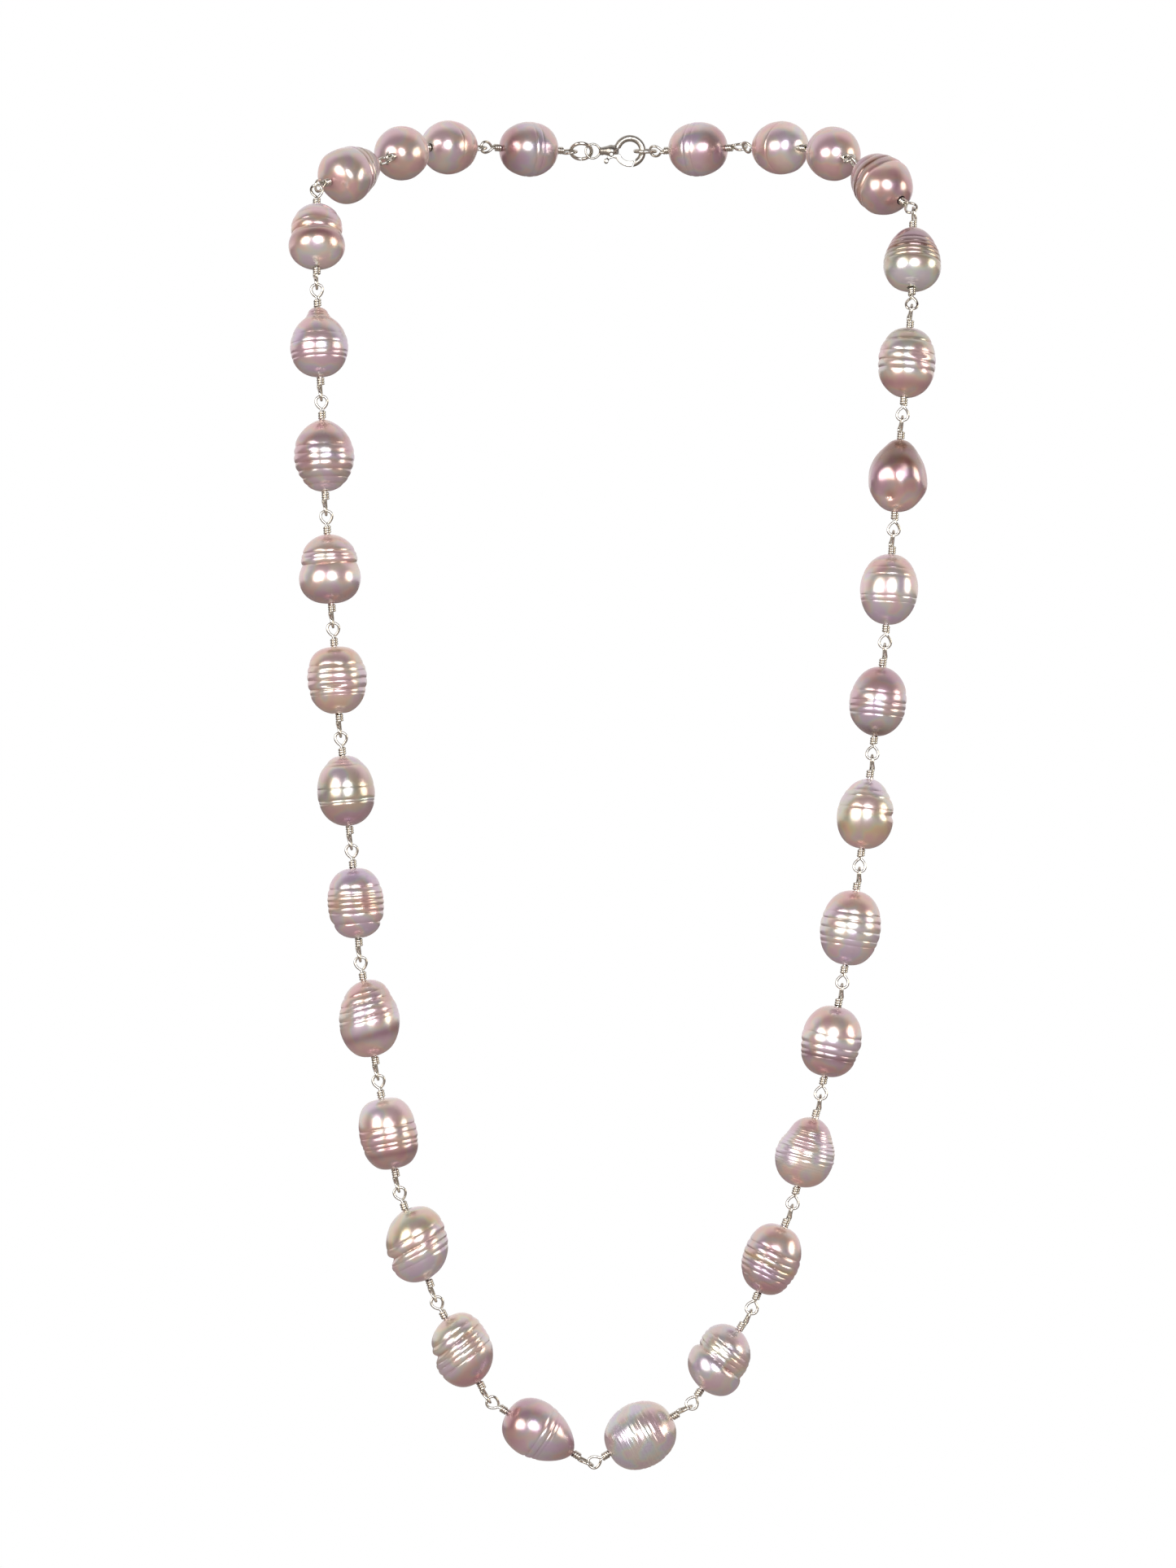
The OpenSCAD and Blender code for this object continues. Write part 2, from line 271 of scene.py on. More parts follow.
work_out(pearl_tree, v, [
    ("off", "SUBTRACT", "height", "Fine place"),
    ("off", "DIVIDE", "off", "Fine spread"),
    ("square", "MULTIPLY", "off", "off"),
    ("square", "MULTIPLY", "square", -1),
    ("fine_zone", "EXPONENT", "square"),
    ("fine", "SUBTRACT", "fine_noise", 0.5),
    ("fine", "MULTIPLY", "fine", 2),
    ("fine", "MULTIPLY", "fine", "Fine depth"),
    ("fine", "MULTIPLY", "fine", "fine_zone"),
    # The body is an ellipse, sharper or blunter at each end, with a taper. A second ellipse, the
    # lobe, is blended into it where the pearl has a knob or a waist.
    ("span", "SUBTRACT", "Body bottom", "Body top"),
    ("off", "ADD", "Body top", "Body bottom"),
    ("off", "MULTIPLY_ADD", "off", -0.5, "ring_height"),
    ("off", "MULTIPLY", "off", 2),
    ("off", "DIVIDE", "off", "span"),
    ("along", "MULTIPLY", "off", "off"),
    ("along", "SUBTRACT", 1, "along"),
    ("along", "MAXIMUM", "along", 0.0001),
    ("point", "SUBTRACT", "Bottom point", "Top point"),
    ("point", "MULTIPLY_ADD", "point", "height", "Top point"),
    ("point", "MULTIPLY", "point", 0.5),
    ("body", "POWER", "along", "point"),
    ("taper", "MULTIPLY_ADD", "Taper", "off", 1),
    ("taper_norm", "ABSOLUTE", "Taper"),
    ("taper_norm", "MULTIPLY_ADD", "taper_norm", 0.35, 1),
    ("body", "MULTIPLY", "body", "taper"),
    ("body", "DIVIDE", "body", "taper_norm"),
    ("body", "MULTIPLY", "body", "Width"),
    ("body", "MULTIPLY", "body", 0.5),
    ("span", "SUBTRACT", "Lobe bottom", "Lobe top"),
    ("off", "ADD", "Lobe top", "Lobe bottom"),
    ("off", "MULTIPLY_ADD", "off", -0.5, "ring_height"),
    ("off", "MULTIPLY", "off", 2),
    ("off", "DIVIDE", "off", "span"),
    ("along", "MULTIPLY", "off", "off"),
    ("along", "SUBTRACT", 1, "along"),
    ("along", "MAXIMUM", "along", 0),
    ("along", "SQRT", "along"),
    ("lobe", "MULTIPLY", "along", "Lobe width"),
    ("lobe", "MULTIPLY", "lobe", 0.5),
    ("body", "SMOOTH_MAX", "body", "lobe", "Lobe blend"),
    ("edge_fade", "MULTIPLY", "fullness", 1.8),
    ("edge_fade", "MINIMUM", "edge_fade", 1),
    ("lumps", "SUBTRACT", "lumps_noise", 0.5),
    ("lumps", "MULTIPLY", "lumps", "Lumps"),
    ("lumps", "MULTIPLY", "lumps", 4),
    ("grooves", "MULTIPLY", "grooves", "fade"),
    ("relief", "SUBTRACT", "lumps", "grooves"),
    ("relief", "ADD", "relief", "fine"),
    # One dent, scar or notch, wide round the pearl and low along it.
    ("across", "SUBTRACT", "turn", "Dent turn"),
    ("across", "DIVIDE", "across", 2),
    ("across", "SINE", "across"),
    ("across", "MULTIPLY", "across", "Width"),
    ("across", "DIVIDE", "across", "Dent width"),
    ("across", "MULTIPLY", "across", "across"),
    ("off", "SUBTRACT", "ring_height", "Dent place"),
    ("off", "MULTIPLY", "off", "Length"),
    ("off", "DIVIDE", "off", "Dent height"),
    ("off", "MULTIPLY_ADD", "off", "off", "across"),
    ("off", "MULTIPLY", "off", -1),
    ("dent", "EXPONENT", "off"),
    ("dent_depth", "MULTIPLY", "dent", "Dent depth"),
    ("relief", "SUBTRACT", "relief", "dent_depth"),
    ("radius", "MULTIPLY_ADD", "relief", "edge_fade", "body"),
    ("radius", "MAXIMUM", "radius", BORE_RADIUS),
    ("x", "MULTIPLY", "radius", "cos_turn"),
    ("y", "MULTIPLY", "radius", "sin_turn"),
    ("z", "MULTIPLY", "down", "Length"),
    ("z", "MULTIPLY", "z", 0.5)])
place = add_node(pearl_tree, "ShaderNodeCombineXYZ", [v["x"], v["y"], v["z"]])
place = add_node(pearl_tree, "ShaderNodeVectorMath", {0: place.outputs[0], "Scale": MM},
                 operation="SCALE")

# Tone runs from top to bottom, with one band of another tone, and follows the rings. A mix of
# two colours takes them at these two of its inputs.
COLOUR_A, COLOUR_B = 6, 7
tone = sockets["Top colour"]
for low, high, colour in ((0.12, 0.45, "Middle colour"), (0.6, 0.92, "Bottom colour")):
    step = add_node(pearl_tree, "ShaderNodeMapRange", {"Value": v["ring_height"], "From Min": low,
                    "From Max": high}, interpolation_type="SMOOTHSTEP")
    tone = add_node(pearl_tree, "ShaderNodeMix", {"Factor": step.outputs[0], COLOUR_A: tone,
                    COLOUR_B: sockets[colour]}, data_type="RGBA").outputs[2]
work_out(pearl_tree, v, [
    ("off", "SUBTRACT", "ring_height", "Band place"),
    ("off", "DIVIDE", "off", "Band width"),
    ("square", "MULTIPLY", "off", "off"),
    ("square", "MULTIPLY", "square", -1),
    ("band", "EXPONENT", "square"),
    ("band", "MULTIPLY", "band", 0.85),
    # Painted shade: the tone is made darker in the grooves and the dent.
    ("wear_and_groove_shade", "MULTIPLY", "dent", "Dent depth"),
    ("wear_and_groove_shade", "MULTIPLY_ADD", "grooves", 1.6, "wear_and_groove_shade"),
    ("wear_and_groove_shade", "MINIMUM", "wear_and_groove_shade", 1)])
tone = add_node(pearl_tree, "ShaderNodeMix", {"Factor": v["band"], COLOUR_A: tone,
                COLOUR_B: sockets["Band colour"]}, data_type="RGBA").outputs[2]

# Both are stored on the flat grid, because they are worked out from its places.
surface = grid.outputs["Mesh"]
for label, kind, value in (("nacre_tone", "FLOAT_COLOR", tone), ("nacre_groove_shade", "FLOAT", v["wear_and_groove_shade"])):
    stored = add_node(pearl_tree, "GeometryNodeStoreNamedAttribute",
                      {"Geometry": surface, "Name": label}, data_type=kind, domain="POINT")
    pearl_tree.links.new(value, next(s for s in stored.inputs if s.name == "Value" and s.enabled))
    surface = stored.outputs[0]
moved = add_node(pearl_tree, "GeometryNodeSetPosition", {"Geometry": surface,
                 "Position": place.outputs[0]})
closed = add_node(pearl_tree, "GeometryNodeMergeByDistance", {"Geometry": moved.outputs[0],
                  "Distance": 0.002 * MM})
real = add_node(pearl_tree, "GeometryNodeRealizeInstances", [closed.outputs[0]])
coated = add_node(pearl_tree, "GeometryNodeSetMaterial", {"Geometry": real.outputs[0],
                  "Material": sockets["Material"]})
add_node(pearl_tree, "NodeGroupOutput", [coated.outputs[0]])


def grow(name, tree, values, matrix, start=None):
    """Runs a geometry tree with these inputs, and returns the result as a plain mesh put in place."""
    seed_mesh = start or bpy.data.meshes.new(f"{name} start")
    host = bpy.data.objects.new(f"{name} host", seed_mesh)
    bpy.context.scene.collection.objects.link(host)
    modifier = host.modifiers.new("tree", "NODES")
    modifier.node_group = tree
    identifiers = {s.name: s.identifier for s in tree.interface.items_tree if s.in_out == "INPUT"}
    for label, value in values.items():
        modifier[identifiers[label]] = value
    bpy.context.view_layer.update()
    made = bpy.data.meshes.new_from_object(
        host.evaluated_get(bpy.context.evaluated_depsgraph_get()))
    bpy.data.objects.remove(host)
    made.transform(matrix)
    made.name = name
    piece = bpy.data.objects.new(name, made)
    bpy.context.scene.collection.objects.link(piece)
    return piece


def new_finish(name):
    """A material with an empty tree, and that tree."""
    made = bpy.data.materials.new(name)
    made.use_nodes = True
    made.node_tree.nodes.clear()
    return made, made.node_tree


# Nacre is thin plates of aragonite in a clear binder: light comes back from many depths at once,
# which gives a soft satin glow under a clear, glossy skin, and faint pink and green overtones.
nacre, tree = new_finish("freshwater nacre")
where = add_node(tree, "ShaderNodeTexCoord").outputs["Object"]
tone = add_node(tree, "ShaderNodeAttribute", attribute_name="nacre_tone").outputs["Color"]
groove = add_node(tree, "ShaderNodeAttribute", attribute_name="nacre_groove_shade").outputs["Fac"]
cloud = add_node(tree, "ShaderNodeTexNoise", {"Vector": where, "Scale": 1 / (4 * MM),
                 "Detail": 2.0})
cloudy = add_node(tree, "ShaderNodeMapRange", {"Value": cloud.outputs["Fac"], "From Min": 0.35,
                  "From Max": 0.7, "To Min": 0.0, "To Max": 0.2})
paler = add_node(tree, "ShaderNodeMix", {"Factor": cloudy.outputs[0], COLOUR_A: tone,
                 COLOUR_B: linear("#DCCFCB")}, data_type="RGBA")
# Painted shade: the tone is multiplied towards brown in the grooves and the dent.
ringed = add_node(tree, "ShaderNodeMix", {"Factor": groove, COLOUR_A: paler.outputs[2],
                  COLOUR_B: linear("#D8B9A8")}, data_type="RGBA", blend_type="MULTIPLY")
# Overtones drift over the skin in patches: pink, gold, green and lilac.
patches = add_node(tree, "ShaderNodeTexNoise", {"Vector": where, "Scale": 1 / (3.6 * MM),
                   "Detail": 1.0})
overtone = add_node(tree, "ShaderNodeValToRGB", [patches.outputs["Fac"]])
for level, colour in ((0.36, "#F4B6C4"), (0.47, "#F6E0B4"), (0.53, "#D2EAD6"), (0.62, "#DAC4F2")):
    stop = overtone.color_ramp.elements.new(level)
    stop.color = linear(colour)
for end in (overtone.color_ramp.elements[0], overtone.color_ramp.elements[-1]):
    end.color = linear("#F2C2CE")
tinted = add_node(tree, "ShaderNodeMix", {"Factor": 0.45, COLOUR_A: ringed.outputs[2],
                  COLOUR_B: overtone.outputs[0]}, data_type="RGBA", blend_type="MULTIPLY")
skin = add_node(tree, "ShaderNodeTexNoise", {"Vector": where, "Scale": 1 / (0.45 * MM),
                "Detail": 3.0})
bump = add_node(tree, "ShaderNodeBump", {"Height": skin.outputs["Fac"], "Strength": 0.06,
                "Distance": 0.05 * MM})
shader = add_node(tree, "ShaderNodeBsdfPrincipled", {
    "Base Color": tinted.outputs[2], "Metallic": 0.6, "Roughness": 0.26, "IOR": 1.55,
    "Coat Weight": 0.9, "Coat Roughness": 0.22, "Coat IOR": 1.8, "Sheen Weight": 0.35,
    "Sheen Roughness": 0.4, "Sheen Tint": linear("#F6DCE0"), "Normal": bump.outputs[0]})
add_node(tree, "ShaderNodeOutputMaterial", [shader.outputs[0]])

ROSE, MAUVE, LILAC, PEACH = "#E4CAC6", "#C7A4A8", "#DDD0DA", "#E8CEBE"
CREAM, PALE, SILVERY, GOLD = "#E6E0D0", "#EEE6E6", "#DCDCDE", "#DECDA8"
BROWN, OLIVE, PLUM = "#8E6354", "#C8C2B4", "#A57D88"


def rings(*rows):
    """Ring inputs from (place, depth, width) rows, from the top of the pearl to the bottom."""
    return {f"Ring {k} {what}": value for k, row in enumerate(rows, 1)
            for what, value in zip(("place", "depth", "width"), row)}


def tones(top, middle, bottom, band=None, place=0.5, width=0.1):
    """Colour inputs of a pearl, from top to bottom, with an optional band."""
    return {"Top colour": top, "Middle colour": middle, "Bottom colour": bottom,
            "Band colour": band or middle, "Band place": place, "Band width": width}


deg = math.radians
PEARLS = {
    "left_01": {"Width": 10.8, "Length": 13.0, "Taper": 0.22, "Top point": 1.0, "Bottom point": 0.8,
                "Lumps": 0.35, **rings((0.3, 0.3, 0.04), (0.4, 0.34, 0.03), (0.5, 0.26, 0.03)),
                **tones(BROWN, OLIVE, ROSE, LILAC, 0.55, 0.15)},
    "left_02": {"Width": 10.5, "Length": 12.4, "Body top": 0.3, "Bottom point": 1.0,
                "Lobe width": 9.6, "Lobe bottom": 0.78, "Lobe blend": 0.9,
                **rings((0.2, 0.2, 0.03), (0.36, 0.14, 0.02), (0.47, 0.34, 0.02), (0.53, 0.1, 0.02)),
                **tones(LILAC, PEACH, PALE, PLUM, 0.6, 0.09)},
    "left_03": {"Width": 10.9, "Length": 12.9, "Body top": 0.1, "Taper": 0.06, "Top point": 1.05,
                "Lobe width": 4.4, "Lobe bottom": 0.3, "Lobe blend": 1.0, "Lumps": 0.06,
                **rings((0.09, 0.16, 0.02), (0.4, 0.1, 0.02), (0.52, 0.1, 0.012), (0.66, 0.16, 0.014),
                        (0.73, 0.16, 0.014)), **tones(ROSE, LILAC, LILAC)},
    "left_04": {"Width": 11.6, "Length": 13.3, "Taper": 0.05, "Top point": 1.2, "Bottom point": 0.95,
                "Lumps": 0.06, "Ring wander": 0.015,
                **rings((0.37, 0.36, 0.04), (0.48, 0.4, 0.04), (0.6, 0.44, 0.04), (0.71, 0.5, 0.04),
                        (0.81, 0.5, 0.04), (0.9, 0.3, 0.03)),
                **tones(ROSE, LILAC, PALE, MAUVE, 0.26, 0.07)},
    "left_05": {"Width": 11.4, "Length": 12.8, "Body top": 0.26, "Bottom point": 0.8,
                "Lobe width": 10.6, "Lobe bottom": 0.8, "Lobe blend": 0.5,
                **rings((0.26, 0.26, 0.02), (0.33, 0.16, 0.02), (0.43, 0.5, 0.025)),
                **tones(ROSE, PALE, MAUVE)},
    "left_06": {"Width": 11.1, "Length": 12.3, "Top point": 0.72, "Bottom point": 0.78,
                **rings((0.28, 0.3, 0.03), (0.38, 0.24, 0.025), (0.5, 0.3, 0.03), (0.64, 0.4, 0.03),
                        (0.72, 0.12, 0.02)), "Dent depth": 0.4, "Dent place": 0.58,
                "Dent turn": deg(5), "Dent width": 2.6, "Dent height": 0.35,
                **tones(PEACH, PALE, PEACH)},
    "left_07": {"Width": 10.7, "Length": 12.9, "Taper": 0.04, "Top point": 0.86, "Lumps": 0.06,
                **rings((0.1, 0.24, 0.03), (0.15, 0.14, 0.02), (0.46, 0.12, 0.014), (0.63, 0.16, 0.012),
                        (0.67, 0.16, 0.012)),
                **tones(PALE, OLIVE, MAUVE, "#E6EEEC", 0.65, 0.02)},
    "left_08": {"Width": 10.4, "Length": 12.8, "Top point": 0.74, "Bottom point": 0.78,
                **rings((0.28, 0.3, 0.03), (0.38, 0.26, 0.022), (0.46, 0.3, 0.022),
                        (0.54, 0.3, 0.022), (0.63, 0.24, 0.022), (0.78, 0.4, 0.03)),
                **tones(LILAC, PALE, LILAC, PEACH, 0.52, 0.12)},
    "left_09": {"Width": 11.4, "Length": 14.1, "Taper": 0.05, "Ring tilt": 0.05,
                "Tilt turn": deg(-90), "Bottom point": 0.86,
                **rings((0.17, 0.2, 0.02), (0.28, 0.3, 0.025), (0.35, 0.2, 0.02), (0.46, 0.26, 0.02),
                        (0.52, 0.12, 0.02)),
                "Dent depth": 0.7, "Dent place": 0.3, "Dent turn": deg(-75), "Dent width": 3,
                "Dent height": 1.8, **tones(ROSE, PALE, ROSE, PLUM, 0.72, 0.08)},
    "left_10": {"Width": 10.7, "Length": 13.1, "Top point": 0.62, "Bottom point": 0.66,
                **rings((0.41, 0.26, 0.022), (0.51, 0.22, 0.02), (0.62, 0.26, 0.022),
                        (0.68, 0.24, 0.02)), **tones(PALE, ROSE, MAUVE, PLUM, 0.78, 0.05)},
    "left_11": {"Width": 11.8, "Length": 13.4, "Top point": 0.8, "Bottom point": 0.88,
                "Ring tilt": 0.08, "Tilt turn": deg(-90),
                **rings((0.36, 0.2, 0.03), (0.5, 0.6, 0.035), (0.6, 0.26, 0.022), (0.7, 0.24, 0.022)),
                "Dent depth": 0.7, "Dent place": 0.52, "Dent turn": deg(85), "Dent width": 3,
                "Dent height": 0.7, **tones(CREAM, PALE, LILAC, GOLD, 0.28, 0.1)},
    "left_12": {"Width": 11.4, "Length": 13.2, "Top point": 0.82, "Ring tilt": 0.07,
                "Tilt turn": deg(-90), "Lumps": 0.2,
                **rings((0.22, 0.34, 0.028), (0.35, 0.5, 0.03), (0.44, 0.3, 0.025),
                        (0.52, 0.26, 0.02), (0.62, 0.3, 0.022)),
                "Dent depth": 0.6, "Dent place": 0.36, "Dent turn": deg(85), "Dent width": 3,
                "Dent height": 0.7, **tones(CREAM, PALE, MAUVE, MAUVE, 0.8, 0.1)},
    "left_13": {"Width": 11.2, "Length": 14.3, "Taper": -0.22, "Bottom point": 1.15,
                "Lumps": 0.08, **rings((0.48, 0.2, 0.014), (0.57, 0.2, 0.014), (0.62, 0.1, 0.014)),
                **tones(MAUVE, LILAC, MAUVE)},
    "right_13": {"Width": 12.0, "Length": 13.2, "Bottom point": 0.8, "Top point": 0.84,
                 "Fine depth": 0.16, "Fine place": 0.5, "Fine spread": 0.3, "Fine pitch": 0.6,
                 **tones(CREAM, SILVERY, SILVERY, LILAC, 0.2, 0.1)},
    "right_12": {"Width": 10.9, "Length": 12.9, "Body top": 0.3, "Lobe width": 10.3,
                 "Lobe bottom": 0.82, "Lobe blend": 0.25, "Ring tilt": 0.05, "Tilt turn": deg(90),
                 **rings((0.28, 0.2, 0.02), (0.36, 0.26, 0.022), (0.44, 0.26, 0.022),
                         (0.53, 0.6, 0.025)),
                 "Fine depth": 0.1, "Fine place": 0.35, "Fine spread": 0.14, "Fine pitch": 0.5,
                 **tones(LILAC, SILVERY, LILAC, CREAM, 0.4, 0.08)},
    "right_11": {"Width": 10.7, "Length": 12.9, "Top point": 0.72, "Bottom point": 0.82,
                 "Ring tilt": 0.03, "Tilt turn": deg(90),
                 **rings((0.36, 0.3, 0.025), (0.47, 0.3, 0.025), (0.57, 0.34, 0.025),
                         (0.65, 0.34, 0.025), (0.73, 0.34, 0.025), (0.82, 0.2, 0.02)),
                 **tones(ROSE, LILAC, MAUVE, GOLD, 0.55, 0.05)},
    "right_10": {"Width": 10.9, "Length": 13.0, "Body top": 0.14, "Bottom point": 0.86,
                 "Lobe width": 8.6, "Lobe bottom": 0.8, "Lobe blend": 0.6,
                 "Fine depth": 0.16, "Fine place": 0.42, "Fine spread": 0.3, "Fine pitch": 0.55,
                 **tones(ROSE, PALE, ROSE)},
    "right_09": {"Width": 11.2, "Length": 13.0, "Top point": 0.78, "Bottom point": 0.8,
                 **rings((0.4, 0.14, 0.02), (0.56, 0.34, 0.03), (0.66, 0.4, 0.03), (0.73, 0.2, 0.02)),
                 **tones(ROSE, PALE, MAUVE, PLUM, 0.72, 0.06)},
    "right_08": {"Width": 11.2, "Length": 13.8, "Top point": 0.84, "Bottom point": 0.8, "Lumps": 0.05,
                 **rings((0.3, 0.16, 0.02), (0.4, 0.22, 0.02), (0.52, 0.2, 0.02),
                         (0.64, 0.26, 0.022), (0.72, 0.26, 0.022)), **tones(ROSE, PALE, LILAC)},
    "right_07": {"Width": 10.8, "Length": 13.0, "Taper": 0.08, "Top point": 1.05,
                 **rings((0.17, 0.2, 0.022), (0.26, 0.2, 0.022), (0.42, 0.12, 0.014)),
                 "Dent depth": 0.5, "Dent place": 0.5, "Dent turn": deg(-80), "Dent width": 3,
                 "Dent height": 0.6, **tones(PALE, CREAM, ROSE, GOLD, 0.72, 0.1)},
    "right_06": {"Width": 10.7, "Length": 12.8, "Taper": 0.03, "Bottom point": 1.0,
                 **rings((0.36, 0.14, 0.02), (0.5, 0.26, 0.022), (0.59, 0.26, 0.022),
                         (0.68, 0.24, 0.02)), **tones(MAUVE, LILAC, SILVERY, "#70452F", 0.97, 0.13)},
    "right_05": {"Width": 10.7, "Length": 13.0, "Lumps": 0.04,
                 **rings((0.2, 0.1, 0.012), (0.3, 0.12, 0.012), (0.6, 0.12, 0.012), (0.68, 0.1, 0.012)),
                 **tones(ROSE, PALE, LILAC)},
    "right_04": {"Width": 11.2, "Length": 13.4, "Taper": 0.12, "Top point": 1.35, "Lumps": 0.5,
                 "Lobe width": 6.2, "Lobe bottom": 0.5, "Lobe blend": 1.0,
                 "Dent depth": 0.6, "Dent place": 0.8, "Dent turn": deg(20), "Dent width": 1.6,
                 "Dent height": 0.8, **tones(BROWN, MAUVE, ROSE, "#9C7466", 0.3, 0.1)},
    "right_03": {"Width": 10.7, "Length": 12.9, "Top point": 0.82,
                 **rings((0.2, 0.24, 0.022), (0.37, 0.2, 0.02), (0.5, 0.34, 0.025),
                         (0.61, 0.3, 0.025)), "Dent depth": 0.3, "Dent place": 0.42,
                 "Dent turn": deg(-25), "Dent width": 1.6, "Dent height": 0.5,
                 **tones(OLIVE, PALE, PEACH, MAUVE, 0.84, 0.08)},
    "right_02": {"Width": 11.1, "Length": 11.9, "Taper": 0.18, "Top point": 0.85,
                 "Bottom point": 0.8,
                 **rings((0.28, 0.26, 0.022), (0.36, 0.24, 0.02), (0.44, 0.26, 0.02),
                         (0.52, 0.24, 0.02), (0.6, 0.24, 0.022)),
                 **tones(PLUM, OLIVE, "#EEF2EA", BROWN, 0.42, 0.07)},
    "right_01": {"Width": 11.0, "Length": 12.6, "Top point": 0.85, "Lumps": 0.3,
                 **rings((0.26, 0.3, 0.03), (0.4, 0.4, 0.03), (0.54, 0.36, 0.03)),
                 **tones(PLUM, ROSE, MAUVE, BROWN, 0.4, 0.09)},
}
NAPE = {
    1: {"Width": 10.6, "Length": 11.5, **rings((0.4, 0.14, 0.014), (0.52, 0.12, 0.014)),
        **tones(ROSE, LILAC, MAUVE)},
    2: {"Width": 10.4, "Length": 11.6, "Taper": 0.06, **rings((0.3, 0.14, 0.014), (0.6, 0.1, 0.012)),
        **tones(ROSE, ROSE, PALE)},
    3: {"Width": 10.2, "Length": 11.4, **rings((0.45, 0.16, 0.014), (0.55, 0.14, 0.014)),
        **tones(MAUVE, ROSE, ROSE)},
}


FIRST_NAPE_SEED = 40
SEED_STEP = 3.7


def make_pearl(name, spec, facing, seed, node, body):
    """One pearl on its link, with its front facing this way, riding on its body."""
    values = {label: linear(value) if label in PEARL_COLOURS else float(value)
              for label, value in spec.items()}
    values |= {"Seed": seed * SEED_STEP, "Material": nacre}
    z = places[name]["axis"]
    x = np.array(facing, float) - z * np.dot(z, facing)
    piece = grow(f"ringed_pearl_{name}", pearl_tree, values,
                 frame_at(places[name]["middle"], x / np.linalg.norm(x), z))
    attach(piece, body)
    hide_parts(node)


for seed, (name, spec) in enumerate(PEARLS.items()):
    make_pearl(name, spec, (0, -1, 0), seed, f"pearl_{name}", f"pearl_{name}")
for seed, name in enumerate((n for n in places if n.startswith("nape")), FIRST_NAPE_SEED):
    out_x, out_y, _ = places[name]["middle"]
    make_pearl(name, NAPE[int(name[-1])], (out_x, out_y, 0), seed, "nape_pearls", "nape")


# Wire links. Each is one length of sterling silver wire, 0.5 mm thick. The end is bent round
# pliers into a loop, taken round the stem three times and nipped off, at both ends of the pearl.
WIRE = 0.5
LOOP_RADIUS = 1.2
STEM = 0.3
WRAPS = 3
WRAP_RADIUS = WIRE * 0.98
WRAP_PITCH = WIRE * 0.88
WIRE_SIDES = 10


def half_link(length):
    """Points in mm of half a link, from the middle of the pearl round the loop to the cut end."""
    neck = 2 * LOOP_RADIUS
    points = [(0, 0, length / 2), (0, 0, length / 3), (0, 0, neck + STEM + WIRE)]
    for angle in np.radians(np.arange(20, 341, 16)):
        narrow = math.sin(angle / 2) ** 0.55 * 1.04
        side = WIRE * np.clip((math.degrees(angle) - 200) / 130, 0, 1) ** 1.5
        points.append((LOOP_RADIUS * narrow * math.sin(angle), side,
                       LOOP_RADIUS * (1 + math.cos(angle))))
    start = neck + STEM + WIRE * 0.3
    for turn in np.arange(0.0, WRAPS + 0.08, 1 / 14):
        angle = math.tau * (turn + 0.3)
        points.append((WRAP_RADIUS * math.cos(angle), WRAP_RADIUS * math.sin(angle),
                       start + turn * WRAP_PITCH))
    return points


wire_tree, sockets = new_tree("swept wire", [
    ("Geometry", "Geometry", None), ("Wire diameter", "Float", WIRE * MM),
    ("Sides", "Int", WIRE_SIDES), ("Length", "Float", 20 * MM), ("Material", "Material", None)])
other_end = add_node(wire_tree, "ShaderNodeCombineXYZ", {"Z": sockets["Length"]})
turned = add_node(wire_tree, "GeometryNodeTransform", {"Geometry": sockets["Geometry"],
                  "Translation": other_end.outputs[0], "Rotation": (math.pi, 0, math.pi / 2)})
both = add_node(wire_tree, "GeometryNodeJoinGeometry", [turned.outputs[0]])
wire_tree.links.new(sockets["Geometry"], both.inputs[0])
half = add_node(wire_tree, "ShaderNodeMath", [sockets["Wire diameter"], 2.0], operation="DIVIDE")
section = add_node(wire_tree, "GeometryNodeCurvePrimitiveCircle", {"Resolution": sockets["Sides"],
                   "Radius": half.outputs[0]})
swept = add_node(wire_tree, "GeometryNodeCurveToMesh", {"Curve": both.outputs[0],
                 "Profile Curve": section.outputs[0], "Fill Caps": True})
smooth = add_node(wire_tree, "GeometryNodeSetShadeSmooth", {"Geometry": swept.outputs[0]})
real = add_node(wire_tree, "GeometryNodeRealizeInstances", [smooth.outputs[0]])
coated = add_node(wire_tree, "GeometryNodeSetMaterial", {"Geometry": real.outputs[0],
                  "Material": sockets["Material"]})
add_node(wire_tree, "NodeGroupOutput", [coated.outputs[0]])

# Drawn sterling silver, bright from the draw plate, with faint marks from the pliers.
silver, tree = new_finish("drawn sterling silver")
where = add_node(tree, "ShaderNodeTexCoord").outputs["Object"]
marks = add_node(tree, "ShaderNodeTexNoise", {"Vector": where, "Scale": 1 / (0.4 * MM),
                 "Detail": 2.0})
rough = add_node(tree, "ShaderNodeMapRange", {"Value": marks.outputs["Fac"], "From Min": 0.3,
                 "From Max": 0.7, "To Min": 0.12, "To Max": 0.28})
bump = add_node(tree, "ShaderNodeBump", {"Height": marks.outputs["Fac"], "Strength": 0.1,
                "Distance": 0.02 * MM})
shader = add_node(tree, "ShaderNodeBsdfPrincipled", {
    "Base Color": linear("#DAD6CC"), "Metallic": 1.0, "Roughness": rough.outputs[0],
    "Normal": bump.outputs[0]})
add_node(tree, "ShaderNodeOutputMaterial", [shader.outputs[0]])


def wire_start(name, points):
    """A curve through points given in mm."""
    curve = bpy.data.curves.new(name, "CURVE")
    curve.dimensions = "3D"
    spline = curve.splines.new("POLY")
    spline.points.add(len(points) - 1)
    for p, target in zip(points, spline.points):
        target.co = (*(c * MM for c in p), 1)
    return curve


# Each wire stands on the top of its upper loop: Z down the link, and X across that loop.
for name, place in places.items():
    crowns = place["length"] - WIRE * MM
    top = place["middle"] - place["axis"] * (place["length"] / 2 - WIRE / 2 * MM)
    path = wire_start(name, half_link(crowns / MM))
    node = "nape_links" if name.startswith("nape") else f"link_{name}"
    body = "nape" if node == "nape_links" or name.endswith("_01") else node
    piece = grow(f"wire_link_{name}", wire_tree, {"Length": crowns, "Material": silver},
                 frame_at(top, place["loop"], place["axis"]), path)
    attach(piece, body)
    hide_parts(node)


